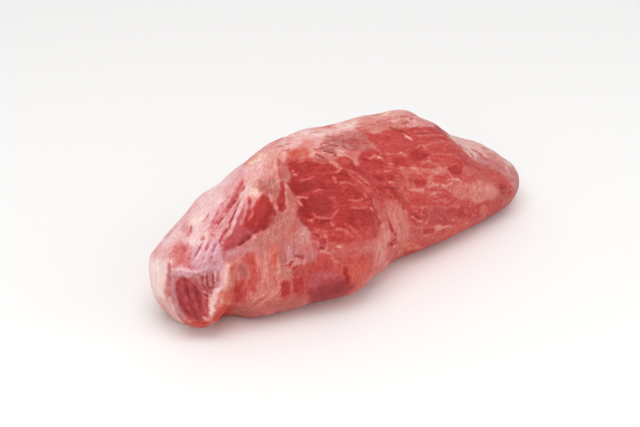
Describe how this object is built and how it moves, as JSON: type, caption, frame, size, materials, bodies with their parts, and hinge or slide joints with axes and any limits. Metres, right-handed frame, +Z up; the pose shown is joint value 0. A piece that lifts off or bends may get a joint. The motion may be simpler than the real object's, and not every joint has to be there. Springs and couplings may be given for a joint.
{
  "type": "raw beef eye round",
  "caption": "Whole raw beef muscle, long and tapered, with a sunken cut end, ragged fat and silverskin over dark red lean, resting on its flat underside.",
  "frame": {"origin": "on the resting surface, under the middle of the bounding box", "axes": "+X from the blunt cut end along the muscle to the thin end, -Y to the shown side, +Z up"},
  "size_m": [0.29, 0.1096, 0.0914],
  "materials": {
    "raw_beef": "moist raw beef: dark red lean under thin patches of pink to cream fat and lilac silverskin"
  },
  "bodies": {
    "root": {"eye_round": "raw_beef"}
  },
  "joints": []
}
